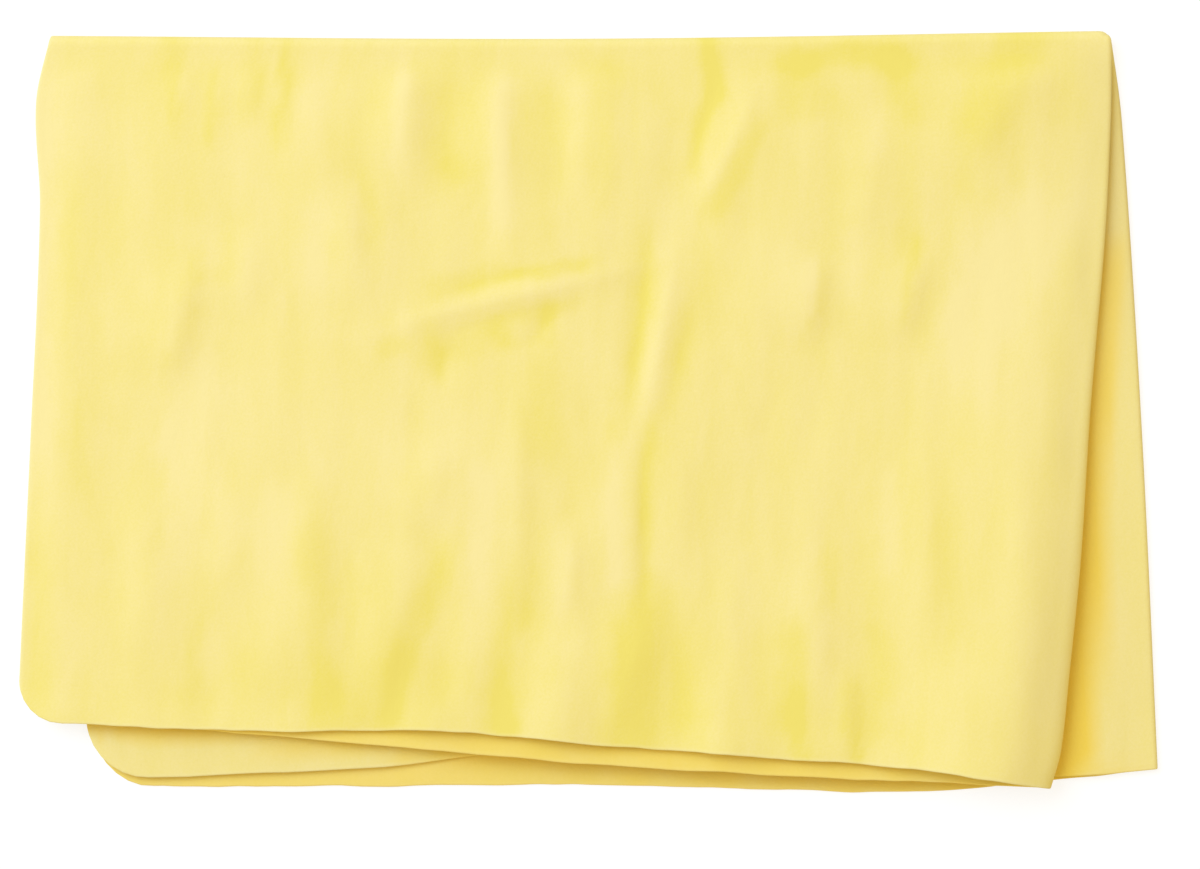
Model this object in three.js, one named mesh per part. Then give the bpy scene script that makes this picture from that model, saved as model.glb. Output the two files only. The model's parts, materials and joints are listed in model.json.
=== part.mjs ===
// A synthetic chamois cloth, folded in quarters and lying flat.
// Lengths are in millimetres. +X points along the top fold to the side fold, +Y points
// across the top fold and out of the cloth, and +Z points up. The origin is under the middle
// of the folded cloth.
//
// The cloth is one sheet, folded in half at its side fold and in half again at its top fold.
// A point of the flat sheet is (s, t). s is its distance from the side fold, positive on the
// outer leaves. t is its distance from the top fold, positive on the front half, which lies
// uppermost. Each fold bends a strip of the sheet, so the sheet has three by three zones.

import * as THREE from "three";
import { mergeVertices } from "three/addons/utils/BufferGeometryUtils.js";

// The flat sheet
const SHEET_WIDTH = 640;
const SHEET_HEIGHT = 444;
const THICKNESS = 1.2;
const FRONT_CORNER_RADIUS = 14;
const BACK_CORNER_RADIUS = 18;

// Air between the two leaves of a half, and between the halves
const LEAF_GAP = 0.3;
const HALF_GAP = 0.6;

// Each fold's strip has this much flat cloth on both sides of its bend
const STRIP_MARGIN = 3;
const SEAM_GAP = 0.3;

// How much longer than half the sheet's height each edge that runs down from the top fold is,
// because the top fold isn't square to the side fold
const FRONT_SIDE_EXTRA = 7.4;
const BACK_SIDE_EXTRA = 0.1;
const FRONT_OUTER_EXTRA = -14.6;
const FRONT_INNER_EXTRA = -16.9;
const BACK_INNER_EXTRA = 3.2;
const BACK_OUTER_EXTRA = 5.3;

// How far to the right the lower end of each of these edges lies, as a share of its length
const FRONT_SIDE_LEAN_SHARE = -0.082;
const BACK_SIDE_LEAN_SHARE = 0.0645;
const FRONT_OUTER_LEAN_SHARE = -0.047;
const FRONT_INNER_LEAN_SHARE = -0.035;
const BACK_INNER_LEAN_SHARE = 0.0505;
const BACK_OUTER_LEAN_SHARE = 0.056;

// The loose roll of the front side fold: how much its radius grows towards the bottom, and
// how far the front outer leaf takes to come down from it
const ROLL_GROWTH = 3.3;
const ROLL_REACH = 62;
const ROLL_START_SHARE = 0.1;

// Creases of the front outer leaf: the main one's height and the distance to its foot
const CREASE_HEIGHT = 2.8;
const CREASE_REACH = 13;
const CREASE_FADE = 16;

// How far an edge bows out from the straight line between its ends: [place, bow], both as
// shares of the edge's length
const TOP_BOW_SHARES = [[0, 0], [0.5, -0.0075], [1, -0.0047]];
const FRONT_SIDE_BOW_SHARES = [[0, 0], [0.1, 0.014], [0.27, 0.019], [0.5, 0.011], [1, 0]];
const BACK_SIDE_BOW_SHARES = [[0, 0], [0.12, 0.008], [0.55, 0.008], [1, 0]];
const FREE_BOW_SHARES = [[0, 0], [0.1, 0.016], [0.25, 0.003], [0.55, 0], [1, 0]];
const STRAIGHT_SHARES = [[0, 0], [1, 0]];
const FRONT_OUTER_BOTTOM_SHARES = [
  [0, 0], [0.3, 0], [0.42, -0.009], [0.55, -0.0155], [0.65, -0.013], [0.76, -0.005], [1, 0],
];
const FRONT_INNER_BOTTOM_SHARES = [[0, 0], [0.36, 0.008], [0.54, 0.007], [0.7, 0.004], [1, 0]];
const BACK_INNER_BOTTOM_SHARES = [[0, 0], [0.3, -0.012], [0.6, -0.021], [0.73, -0.009], [1, 0]];
const BACK_OUTER_BOTTOM_SHARES = [[0, 0], [0.1, 0.008], [0.24, 0.0155], [0.52, 0.004], [1, 0]];

// The creases: both ends as shares of the top fold's length across, from the side fold, and
// of the front side's length down, from the top fold. Height and reach are shares of the
// main crease's
const CREASE_SHARES = [
  { from: [0.35, 0.06], to: [0.409, 0.29], height: 1, reach: 1 },
  { from: [0.409, 0.25], to: [0.448, 0.6], height: 1, reach: 0.9 },
  { from: [0.43, 0.3], to: [0.642, 0.383], height: 0.9, reach: 0.8 },
  { from: [0.62, 0.375], to: [0.74, 0.43], height: 0.7, reach: 0.8 },
  { from: [0.575, 0.03], to: [0.56, 0.33], height: 0.5, reach: 1.2 },
  { from: [0.665, 0.03], to: [0.68, 0.3], height: 0.5, reach: 1.4 },
  { from: [0.84, 0.04], to: [0.86, 0.5], height: 0.5, reach: 1.7 },
  { from: [0.79, 0.45], to: [0.74, 0.95], height: 0.6, reach: 1.9 },
  { from: [0.6, 0.62], to: [0.61, 0.98], height: 0.5, reach: 1.5 },
  { from: [0.5, 0.7], to: [0.52, 1], height: 0.5, reach: 1.4 },
  { from: [0.22, 0.2], to: [0.16, 0.62], height: 0.6, reach: 2 },
];

// Grid lines: where a run of them ends, as a share of the leaf, and how many steps it has.
// The front outer leaf has more of them near its main creases, and its lines lean with them
const FRONT_COLUMN_SHARES = [{ end: 0.3, steps: 6 }, { end: 0.5, steps: 13 }, { end: 1, steps: 8 }];
const FRONT_ROW_SHARES = [{ end: 0.22, steps: 4 }, { end: 0.46, steps: 7 }, { end: 1, steps: 7 }];
const PLAIN_COLUMN_SHARES = [{ end: 1, steps: 11 }];
const PLAIN_ROW_SHARES = [{ end: 1, steps: 8 }];
const LINE_LEAN_SHARE = 0.11;
const LEANING_FROM_SHARE = 0.4;
const CORNER_STEPS = 4;
const BEND_STEPS = 10;
const ALONG_SIDE_STEPS = 14;
const ALONG_TOP_STEPS = 12;

const CLOTH_COLOUR = "#f6e68f";
const CLOTH_ROUGHNESS = 0.92;

// Sizes that follow from those above
const HALF_WIDTH = SHEET_WIDTH / 2;
const HALF_HEIGHT = SHEET_HEIGHT / 2;
const SKIN = THICKNESS / 2;
const QUARTER_TURN = Math.PI / 2;
const SIDE_RADIUS = (THICKNESS + LEAF_GAP) / 2;
const TOP_RADIUS = (2 * THICKNESS + LEAF_GAP + HALF_GAP) / 2;
const BEND_DEPTH = SKIN + TOP_RADIUS + SIDE_RADIUS;
const TOP_FOLD_LENGTH = HALF_WIDTH + SKIN - (QUARTER_TURN - 1) * SIDE_RADIUS;
const FRONT_SIDE_LENGTH = HALF_HEIGHT + FRONT_SIDE_EXTRA;
const SIDE_CUT = QUARTER_TURN * (SIDE_RADIUS + ROLL_GROWTH) + STRIP_MARGIN;
const TOP_CUT = QUARTER_TURN * TOP_RADIUS + STRIP_MARGIN;
const PROBE = THICKNESS / 1000;

const lerp = THREE.MathUtils.lerp;

function ease(share) {
  return THREE.MathUtils.smoothstep(share, 0, 1);
}

// The value at a place on a smooth curve through [place, value] pairs
function along(pairs, place) {
  const last = pairs.length - 1;
  let k = 0;
  while (k < last - 1 && place > pairs[k + 1][0]) {
    k += 1;
  }
  const slopeAt = (i) => {
    const before = pairs[Math.max(i - 1, 0)];
    const after = pairs[Math.min(i + 1, last)];
    return (after[1] - before[1]) / (after[0] - before[0]);
  };
  const run = pairs[k + 1][0] - pairs[k][0];
  const h = (place - pairs[k][0]) / run;
  const rise = pairs[k + 1][1] - pairs[k][1];
  const startExtra = slopeAt(k) * run - rise;
  const endExtra = rise - slopeAt(k + 1) * run;
  return pairs[k][1] + rise * h + h * (1 - h) * (startExtra * (1 - h) + endExtra * h);
}

// One edge, from its start along a straight line to its end, bowed out to its outer side
function edge(start, end, bowShares, outerSide) {
  const way = end.clone().sub(start);
  const outward = new THREE.Vector2(-way.y, way.x).multiplyScalar(outerSide);
  return (share) => {
    const point = start.clone().addScaledVector(way, share);
    return point.addScaledVector(outward, along(bowShares, share));
  };
}

function leaningEnd(start, length, leanShare) {
  const way = new THREE.Vector2(leanShare, -Math.sqrt(1 - leanShare ** 2));
  return start.clone().addScaledVector(way, length);
}

// Edges seen from above, with the folds' crossing at zero
const CROSSING = new THREE.Vector2(0, 0);
const TOP_END = new THREE.Vector2(-TOP_FOLD_LENGTH, 0);
const topEdge = edge(CROSSING, TOP_END, TOP_BOW_SHARES, -1);

const HALVES = {
  front: {
    sideLength: FRONT_SIDE_LENGTH,
    leanShare: FRONT_SIDE_LEAN_SHARE,
    bow: FRONT_SIDE_BOW_SHARES,
    rollGrowth: ROLL_GROWTH,
    cornerRadius: FRONT_CORNER_RADIUS,
  },
  back: {
    sideLength: HALF_HEIGHT + BACK_SIDE_EXTRA,
    leanShare: BACK_SIDE_LEAN_SHARE,
    bow: BACK_SIDE_BOW_SHARES,
    rollGrowth: 0,
    cornerRadius: BACK_CORNER_RADIUS,
  },
};

function leaf(half, freeExtra, leanShare, freeBow, bottomBow) {
  const freeLength = HALF_HEIGHT + freeExtra;
  const sideEnd = leaningEnd(CROSSING, half.sideLength, half.leanShare);
  const freeStart = topEdge(1);
  const freeEnd = leaningEnd(freeStart, freeLength, leanShare);
  return {
    half,
    freeLength,
    side: edge(CROSSING, sideEnd, half.bow, 1),
    free: edge(freeStart, freeEnd, freeBow, -1),
    bottom: edge(sideEnd, freeEnd, bottomBow, 1),
  };
}

const LEAVES = {
  frontOuter: leaf(
    HALVES.front,
    FRONT_OUTER_EXTRA,
    FRONT_OUTER_LEAN_SHARE,
    FREE_BOW_SHARES,
    FRONT_OUTER_BOTTOM_SHARES,
  ),
  frontInner: leaf(
    HALVES.front,
    FRONT_INNER_EXTRA,
    FRONT_INNER_LEAN_SHARE,
    STRAIGHT_SHARES,
    FRONT_INNER_BOTTOM_SHARES,
  ),
  backInner: leaf(
    HALVES.back,
    BACK_INNER_EXTRA,
    BACK_INNER_LEAN_SHARE,
    STRAIGHT_SHARES,
    BACK_INNER_BOTTOM_SHARES,
  ),
  backOuter: leaf(
    HALVES.back,
    BACK_OUTER_EXTRA,
    BACK_OUTER_LEAN_SHARE,
    STRAIGHT_SHARES,
    BACK_OUTER_BOTTOM_SHARES,
  ),
};

function leafAt(s, t) {
  if (t >= 0) {
    return s >= 0 ? LEAVES.frontOuter : LEAVES.frontInner;
  }
  return s >= 0 ? LEAVES.backOuter : LEAVES.backInner;
}

// The place in a leaf's outline at shares of its width and of its length
function planPoint(shape, across, down) {
  const between = shape.side(down).lerp(shape.free(down), across);
  const stacked = topEdge(across).lerp(shape.bottom(across), down);
  const topCorners = topEdge(0).lerp(topEdge(1), across);
  const bottomCorners = shape.side(1).lerp(shape.free(1), across);
  return between.add(stacked).sub(topCorners.lerp(bottomCorners, down));
}

// A crease's rise at a point seen from above
function creaseRise(crease, x, y) {
  const [fromAcross, fromDown] = crease.from;
  const [toAcross, toDown] = crease.to;
  const start = new THREE.Vector2(-fromAcross * TOP_FOLD_LENGTH, -fromDown * FRONT_SIDE_LENGTH);
  const end = new THREE.Vector2(-toAcross * TOP_FOLD_LENGTH, -toDown * FRONT_SIDE_LENGTH);
  const way = end.sub(start);
  const offset = new THREE.Vector2(x, y).sub(start);
  const share = THREE.MathUtils.clamp(offset.dot(way) / way.lengthSq(), 0, 1);
  const distance = offset.addScaledVector(way, -share).length();
  const profile = ease(1 - distance / (crease.reach * CREASE_REACH));
  const taper = 1 - (2 * share - 1) ** 4;
  return crease.height * CREASE_HEIGHT * profile * taper;
}

function creases(x, y) {
  return Math.max(...CREASE_SHARES.map((crease) => creaseRise(crease, x, y)));
}

// The middle of the sheet's thickness, folded, for a point of the flat sheet
function folded(s, t) {
  const shape = leafAt(s, t);
  const sideways = Math.abs(s);
  const downways = Math.abs(t);

  // Top fold: a half circle, then flat. turn is 1 on the front half and -1 on the back half
  const topAngle = Math.min(downways / TOP_RADIUS, QUARTER_TURN);
  const turn = Math.sign(t) * Math.sin(topAngle);
  const beyondTop = Math.max(downways - QUARTER_TURN * TOP_RADIUS, 0);
  const downShare = ease((downways / HALF_HEIGHT - ROLL_START_SHARE) / (1 - ROLL_START_SHARE));

  // Side fold: a half circle too, whose radius grows down the front half
  const growth = shape.half.rollGrowth * downShare;
  const radius = SIDE_RADIUS + growth;
  const sideAngle = Math.min(sideways / radius, QUARTER_TURN);
  const layer = Math.sign(s) * Math.sin(sideAngle);
  const beyondSide = Math.max(sideways - QUARTER_TURN * radius, 0);

  // Distances in from the side fold's edge and down from the top fold's edge
  const cutInset = SKIN + radius + SIDE_CUT - QUARTER_TURN * radius;
  let inset = SKIN + radius * (1 - Math.cos(sideAngle)) + beyondSide;
  if (sideways > SIDE_CUT) {
    const share = (sideways - SIDE_CUT) / (HALF_WIDTH - SIDE_CUT);
    inset = lerp(cutInset, TOP_FOLD_LENGTH, share);
  }
  const across = inset / TOP_FOLD_LENGTH;
  const length = lerp(shape.half.sideLength, shape.freeLength, across);
  let drop = BEND_DEPTH - (TOP_RADIUS + SIDE_RADIUS * layer) * Math.cos(topAngle) + beyondTop;
  const cutDrop = BEND_DEPTH + TOP_CUT - QUARTER_TURN * TOP_RADIUS;
  if (downways > TOP_CUT) {
    drop = lerp(cutDrop, length, (downways - TOP_CUT) / (HALF_HEIGHT - TOP_CUT));
  }
  const plan = planPoint(shape, across, drop / length);

  // Height: the two folds' layers, then the roll, then the creases of the front outer leaf
  let height = BEND_DEPTH + turn * (TOP_RADIUS + SIDE_RADIUS * layer);
  const pastRoll = Math.max(inset - cutInset, 0) / ROLL_REACH;
  const open = s > 0 ? 1 - ease(pastRoll) : 1;
  height += growth * (1 + layer) * open;
  if (shape === LEAVES.frontOuter && sideways > SIDE_CUT && downways > TOP_CUT) {
    const clearOfSide = ease((inset - cutInset) / CREASE_FADE);
    const clearOfTop = ease((drop - cutDrop) / CREASE_FADE);
    height += creases(plan.x, plan.y) * clearOfSide * clearOfTop;
  }
  return new THREE.Vector3(plan.x, plan.y, height);
}

// A point on one face of the sheet: 1 is the face that shows on the outer leaves, -1 the other
function faceOfSheet(s, t, face) {
  const stepAcross = folded(s + PROBE, t).sub(folded(s - PROBE, t));
  const stepDown = folded(s, t + PROBE).sub(folded(s, t - PROBE));
  const normal = stepAcross.cross(stepDown).normalize();
  return folded(s, t).addScaledVector(normal, face * SKIN);
}

// How far down the sheet reaches at a distance from the side fold, with its rounded corner
function reachDown(sideways, cornerRadius) {
  const intoCorner = THREE.MathUtils.clamp(sideways - HALF_WIDTH + cornerRadius, 0, cornerRadius);
  return HALF_HEIGHT - cornerRadius + Math.sqrt(cornerRadius ** 2 - intoCorner ** 2);
}

// Places from 0 to 1 in runs of even steps
function runs(runShares) {
  const places = [0];
  for (const { end, steps } of runShares) {
    const start = places[places.length - 1];
    for (let i = 1; i <= steps; i += 1) {
      places.push(lerp(start, end, i / steps));
    }
  }
  return places;
}

// Distances from the side fold of a leaf's columns: even runs, then closer round the corner
function leafColumns(columnShares, cornerRadius) {
  const start = SIDE_CUT + SEAM_GAP / 2;
  const straightEnd = HALF_WIDTH - cornerRadius;
  const columns = runs(columnShares).map((place) => lerp(start, straightEnd, place));
  for (let i = 1; i <= CORNER_STEPS; i += 1) {
    columns.push(straightEnd + cornerRadius * Math.sin((QUARTER_TURN * i) / CORNER_STEPS));
  }
  return columns;
}

// Places on both sides of a fold, closest together where it bends
function acrossFold(cut) {
  const places = [];
  for (let i = 0; i <= BEND_STEPS; i += 1) {
    places.push(lerp(-cut, cut, i / BEND_STEPS));
  }
  return places;
}

function leafGrid(acrossSign, downSign, columnShares, rowShares, lineLean) {
  const { cornerRadius } = leafAt(acrossSign, downSign).half;
  const columns = leafColumns(columnShares, cornerRadius);
  const rows = runs(rowShares);
  const top = TOP_CUT + SEAM_GAP / 2;
  return columns.map((column) => rows.map((row) => {
    const first = columns[0];
    const span = (column - first) / (HALF_WIDTH - first);
    const nearCrease = Math.max(1 - Math.abs(span / LEANING_FROM_SHARE - 1), 0);
    const lean = lineLean * HALF_WIDTH * ease(nearCrease) * row;
    const t = lerp(top, reachDown(column, cornerRadius), row);
    return [acrossSign * (column + lean), downSign * t];
  }));
}

function sideFoldGrid(downSign) {
  const columns = acrossFold(SIDE_CUT - SEAM_GAP / 2);
  const top = TOP_CUT + SEAM_GAP / 2;
  const rows = runs([{ end: 1, steps: ALONG_SIDE_STEPS }]);
  return columns.map((s) => rows.map((row) => [s, downSign * lerp(top, HALF_HEIGHT, row)]));
}

function topFoldGrid(acrossSign) {
  const rows = acrossFold(TOP_CUT - SEAM_GAP / 2);
  const start = SIDE_CUT + SEAM_GAP / 2;
  const columns = runs([{ end: 1, steps: ALONG_TOP_STEPS }]);
  return columns.map((column) => {
    const s = acrossSign * lerp(start, HALF_WIDTH, column);
    return rows.map((t) => [s, t]);
  });
}

function cornerGrid() {
  const columns = acrossFold(SIDE_CUT - SEAM_GAP / 2);
  const rows = acrossFold(TOP_CUT - SEAM_GAP / 2);
  return columns.map((s) => rows.map((t) => [s, t]));
}

// A grid of sheet points made solid: both faces of the sheet and the cut edge all round
function sheetZone(grid) {
  const columnCount = grid.length;
  const rowCount = grid[0].length;
  const perFace = columnCount * rowCount;
  const positions = [];
  for (const face of [1, -1]) {
    for (const column of grid) {
      for (const [s, t] of column) {
        positions.push(...faceOfSheet(s, t, face).toArray());
      }
    }
  }
  const [[firstS, firstT]] = grid[0];
  const goesUp = grid[columnCount - 1][0][0] > firstS;
  const goesDown = grid[0][rowCount - 1][1] > firstT;
  const facing = goesUp === goesDown;
  const triangles = [];
  const addQuad = (a, b, c, d) => {
    const corners = facing ? [a, b, c, a, c, d] : [a, c, b, a, d, c];
    triangles.push(...corners);
  };
  const at = (i, j) => i * rowCount + j;
  for (let i = 0; i < columnCount - 1; i += 1) {
    for (let j = 0; j < rowCount - 1; j += 1) {
      const [a, b, c, d] = [at(i, j), at(i + 1, j), at(i + 1, j + 1), at(i, j + 1)];
      addQuad(a, b, c, d);
      addQuad(d + perFace, c + perFace, b + perFace, a + perFace);
    }
  }
  const rim = [];
  for (let i = 0; i < columnCount - 1; i += 1) {
    rim.push(at(i, 0));
  }
  for (let j = 0; j < rowCount - 1; j += 1) {
    rim.push(at(columnCount - 1, j));
  }
  for (let i = columnCount - 1; i > 0; i -= 1) {
    rim.push(at(i, rowCount - 1));
  }
  for (let j = rowCount - 1; j > 0; j -= 1) {
    rim.push(at(0, j));
  }
  rim.forEach((corner, k) => {
    const next = rim[(k + 1) % rim.length];
    addQuad(next, corner, corner + perFace, next + perFace);
  });
  const geometry = new THREE.BufferGeometry();
  geometry.setAttribute("position", new THREE.Float32BufferAttribute(positions, 3));
  geometry.setIndex(triangles);
  const welded = mergeVertices(geometry, THICKNESS / 10000);
  welded.computeVertexNormals();
  return welded;
}

const ZONES = {
  back_outer_leaf: leafGrid(1, -1, PLAIN_COLUMN_SHARES, PLAIN_ROW_SHARES, 0),
  back_inner_leaf: leafGrid(-1, -1, PLAIN_COLUMN_SHARES, PLAIN_ROW_SHARES, 0),
  back_side_fold: sideFoldGrid(-1),
  front_inner_leaf: leafGrid(-1, 1, PLAIN_COLUMN_SHARES, PLAIN_ROW_SHARES, 0),
  front_outer_leaf: leafGrid(1, 1, FRONT_COLUMN_SHARES, FRONT_ROW_SHARES, LINE_LEAN_SHARE),
  front_side_fold: sideFoldGrid(1),
  outer_top_fold: topFoldGrid(1),
  inner_top_fold: topFoldGrid(-1),
  centre_corner: cornerGrid(),
};

const cloth = new THREE.Group();
for (const [name, grid] of Object.entries(ZONES)) {
  const material = new THREE.MeshStandardMaterial({
    color: CLOTH_COLOUR,
    roughness: CLOTH_ROUGHNESS,
    metalness: 0,
  });
  const zone = new THREE.Mesh(sheetZone(grid), material);
  zone.name = name;
  cloth.add(zone);
}

const box = new THREE.Box3().setFromObject(cloth);
const centre = box.getCenter(new THREE.Vector3());
cloth.position.set(-centre.x, -centre.y, -box.min.z);

export default cloth;
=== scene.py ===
"""A synthetic chamois cloth, folded in quarters and lying flat on a pale floor.

The cloth is one sheet. A point of the flat sheet is (s, t), in millimetres: s is its distance from
the side fold, positive on the outer leaves, and t its distance from the top fold, positive on the
front half, which lies uppermost. The script folds every point, shapes the loft, the roll and the
creases of the leaves, and gives the sheet its thickness.
"""

import json
import math

import bpy
import numpy as np
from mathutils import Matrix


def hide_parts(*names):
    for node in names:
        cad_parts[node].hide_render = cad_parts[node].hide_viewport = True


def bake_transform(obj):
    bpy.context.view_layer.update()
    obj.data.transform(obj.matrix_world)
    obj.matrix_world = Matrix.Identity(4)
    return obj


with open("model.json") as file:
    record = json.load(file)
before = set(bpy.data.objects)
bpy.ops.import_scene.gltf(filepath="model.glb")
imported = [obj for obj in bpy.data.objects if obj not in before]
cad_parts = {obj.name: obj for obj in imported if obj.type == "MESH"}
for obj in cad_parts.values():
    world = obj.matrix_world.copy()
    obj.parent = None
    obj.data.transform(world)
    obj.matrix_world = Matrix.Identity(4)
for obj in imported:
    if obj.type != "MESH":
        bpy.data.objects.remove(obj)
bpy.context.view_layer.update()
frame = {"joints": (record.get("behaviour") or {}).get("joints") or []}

# Lengths below are in millimetres, and Blender's are in metres
MM = 0.001
QUARTER_TURN = math.pi / 2

# The camera's picture: its width over the cloth, and the place under its middle
PICTURE_WIDTH = 361.8
PICTURE_MIDDLE = (3.1, -7.5)
CAMERA_HEIGHT = 1206
CLOTH_TOP = 6
SENSOR_WIDTH = 36
# In metres
CAMERA_REACH = 20

# The flat sheet
SHEET_WIDTH = 640
SHEET_HEIGHT = 444
THICKNESS = 1.2
FRONT_CORNER_RADIUS = 14
BACK_CORNER_RADIUS = 18
LEAF_GAP = 0.3
HALF_GAP = 0.6
STRIP_MARGIN = 3

# Edges that run down from the top fold: extra over half the sheet's height, and lean as a share
FRONT_SIDE = (7.4, -0.082)
BACK_SIDE = (1.7, 0.0645)
FRONT_OUTER = (-14.6, -0.047)
FRONT_INNER = (-16.9, -0.035)
BACK_INNER = (3.2, 0.0505)
BACK_OUTER = (5.3, 0.056)

# How far an edge bows out from the straight line between its ends: (place, bow), both as shares
TOP_BOW = ((0, 0), (0.5, -0.0075), (1, -0.0047))
FRONT_SIDE_BOW = (
    (0, 0), (0.1, 0.008), (0.27, 0.0135), (0.5, 0.0125), (0.7, 0.0155), (0.85, 0.0125),
    (0.95, 0.0095), (1, 0),
)
BACK_SIDE_BOW = ((0, 0), (0.12, 0.008), (0.55, 0.008), (1, 0))
FREE_BOW = ((0, 0), (0.1, 0.016), (0.25, 0.003), (0.55, 0), (1, 0))
STRAIGHT = ((0, 0), (1, 0))
FRONT_OUTER_BOTTOM = (
    (0, 0), (0.05, -0.0045), (0.13, -0.0108), (0.33, -0.0133), (0.42, -0.0145), (0.55, -0.0178),
    (0.65, -0.0148), (0.76, -0.0068), (1, 0),
)
FRONT_INNER_BOTTOM = ((0, 0), (0.36, 0.008), (0.54, 0.007), (0.7, 0.004), (1, 0))
BACK_INNER_BOTTOM = (
    (0, 0), (0.05, 0.0042), (0.1, 0.0068), (0.2, 0.002), (0.35, -0.012), (0.6, -0.021),
    (0.73, -0.009), (1, 0),
)
BACK_OUTER_BOTTOM = ((0, 0), (0.1, 0.0092), (0.24, 0.0175), (0.52, 0.007), (0.8, 0.0035), (1, 0))

# The loose roll of the front side fold: how much its radius grows, how far it reaches into the
# leaf, where it starts as a share of the way down, and how flat and over what width it is pinched
ROLL_GROWTH = 3.3
ROLL_REACH = 62
ROLL_START = 0.1
ROLL_PINCH = 0.5
PINCH_REACH = 15

HALF_WIDTH = SHEET_WIDTH / 2
HALF_HEIGHT = SHEET_HEIGHT / 2
SKIN = THICKNESS / 2
SIDE_RADIUS = (THICKNESS + LEAF_GAP) / 2
TOP_RADIUS = (2 * THICKNESS + LEAF_GAP + HALF_GAP) / 2
BEND_DEPTH = SKIN + TOP_RADIUS + SIDE_RADIUS
TOP_FOLD_LENGTH = HALF_WIDTH + SKIN - (QUARTER_TURN - 1) * SIDE_RADIUS
SIDE_CUT = QUARTER_TURN * (SIDE_RADIUS + ROLL_GROWTH) + STRIP_MARGIN
TOP_CUT = QUARTER_TURN * TOP_RADIUS + STRIP_MARGIN


def ease(x):
    """A smooth step from 0 to 1."""
    x = np.clip(x, 0, 1)
    return x * x * (3 - 2 * x)


def lerp(a, b, share):
    return a + (b - a) * share


def along(pairs, place):
    """The value at a place on a smooth curve through (place, value) pairs."""
    xs = np.array([p[0] for p in pairs], float)
    ys = np.array([p[1] for p in pairs], float)
    last = len(pairs) - 1
    before = np.maximum(np.arange(last + 1) - 1, 0)
    after = np.minimum(np.arange(last + 1) + 1, last)
    slopes = (ys[after] - ys[before]) / (xs[after] - xs[before])
    k = np.clip(np.searchsorted(xs, place, side="left") - 1, 0, last - 1)
    run = xs[k + 1] - xs[k]
    h = (place - xs[k]) / run
    rise = ys[k + 1] - ys[k]
    start_extra = slopes[k] * run - rise
    end_extra = rise - slopes[k + 1] * run
    return ys[k] + rise * h + h * (1 - h) * (start_extra * (1 - h) + end_extra * h)


def edge(start, end, bow, outer_side):
    """One edge, from its start along a straight line to its end, bowed out to its outer side."""
    way = np.subtract(end, start)
    outward = np.array([-way[1], way[0]]) * outer_side

    def point(share):
        share = np.asarray(share, float)
        return start + way * share[..., None] + outward * along(bow, share)[..., None]

    return point


def leaning_end(start, length, lean):
    """The end of an edge that runs down and leans by a share of its length."""
    return start + np.array([lean, -math.sqrt(1 - lean**2)]) * length


top_edge = edge(np.zeros(2), np.array([-TOP_FOLD_LENGTH, 0.0]), TOP_BOW, -1)


def leaf(half, own, free_bow, bottom_bow, half_bow):
    """One leaf's edges in plan, and the lengths of the two that run down."""
    side_length = HALF_HEIGHT + half[0]
    free_length = HALF_HEIGHT + own[0]
    side_end = leaning_end(np.zeros(2), side_length, half[1])
    free_start = top_edge(1.0)
    free_end = leaning_end(free_start, free_length, own[1])
    return {
        "side_length": side_length,
        "free_length": free_length,
        "side": edge(np.zeros(2), side_end, half_bow, 1),
        "free": edge(free_start, free_end, free_bow, -1),
        "bottom": edge(side_end, free_end, bottom_bow, 1),
    }


# Leaves by whether they are outer and whether they are of the front half
LEAVES = {
    (1, 1): leaf(FRONT_SIDE, FRONT_OUTER, FREE_BOW, FRONT_OUTER_BOTTOM, FRONT_SIDE_BOW),
    (0, 1): leaf(FRONT_SIDE, FRONT_INNER, STRAIGHT, FRONT_INNER_BOTTOM, FRONT_SIDE_BOW),
    (0, 0): leaf(BACK_SIDE, BACK_INNER, STRAIGHT, BACK_INNER_BOTTOM, BACK_SIDE_BOW),
    (1, 0): leaf(BACK_SIDE, BACK_OUTER, STRAIGHT, BACK_OUTER_BOTTOM, BACK_SIDE_BOW),
}


def plan_point(shape, across, down):
    """The place in a leaf's outline at shares of its width and of its length."""
    a = across[..., None]
    d = down[..., None]
    between = lerp(shape["side"](down), shape["free"](down), a)
    stacked = lerp(top_edge(across), shape["bottom"](across), d)
    top_corners = lerp(top_edge(0.0), top_edge(1.0), a)
    bottom_corners = lerp(shape["side"](1.0), shape["free"](1.0), a)
    return between + stacked - lerp(top_corners, bottom_corners, d)


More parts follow.
